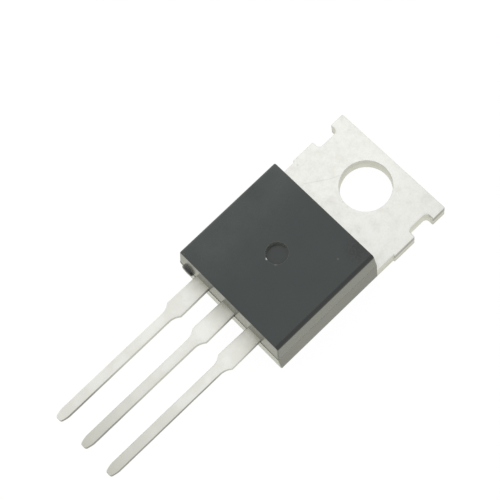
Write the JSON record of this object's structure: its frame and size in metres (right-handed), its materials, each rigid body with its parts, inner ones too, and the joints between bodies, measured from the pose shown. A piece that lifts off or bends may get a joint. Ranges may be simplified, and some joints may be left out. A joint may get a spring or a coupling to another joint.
{
  "type": "triac",
  "caption": "Power triac in a flat moulded package with a bolt-on metal tab, a mounting hole and a row of straight through-hole leads.",
  "frame": {"origin": "centre of the mounting hole on the back (mounting) face of the tab", "axes": "+Z out of the moulded face, normal to the mounting face; +Y from the body towards the free end of the tab, so the leads run to -Y; +X to the gate lead's side"},
  "size_m": [0.01, 0.0289, 0.0045],
  "materials": {
    "moulding_resin": "fine matt moulded epoxy, grey-black",
    "plated_copper": "satin tin plating on copper",
    "solder": "dull solder",
    "silicon": "polished silicon, opaque",
    "passivation": "fired glass, opaque",
    "contact_metal": "evaporated metal, satin",
    "bond_wire": "drawn wire"
  },
  "bodies": {
    "root": {"epoxy_body": "moulding_resin", "heatsink_tab": "plated_copper", "mt1_lead": "plated_copper", "gate_lead": "plated_copper", "die_solder": "solder", "silicon_chip": "silicon", "passivation_glass": "passivation", "mt1_contact": "contact_metal", "gate_contact": "contact_metal", "mt1_bond_wire": "bond_wire", "gate_bond_wire": "bond_wire"}
  },
  "joints": []
}
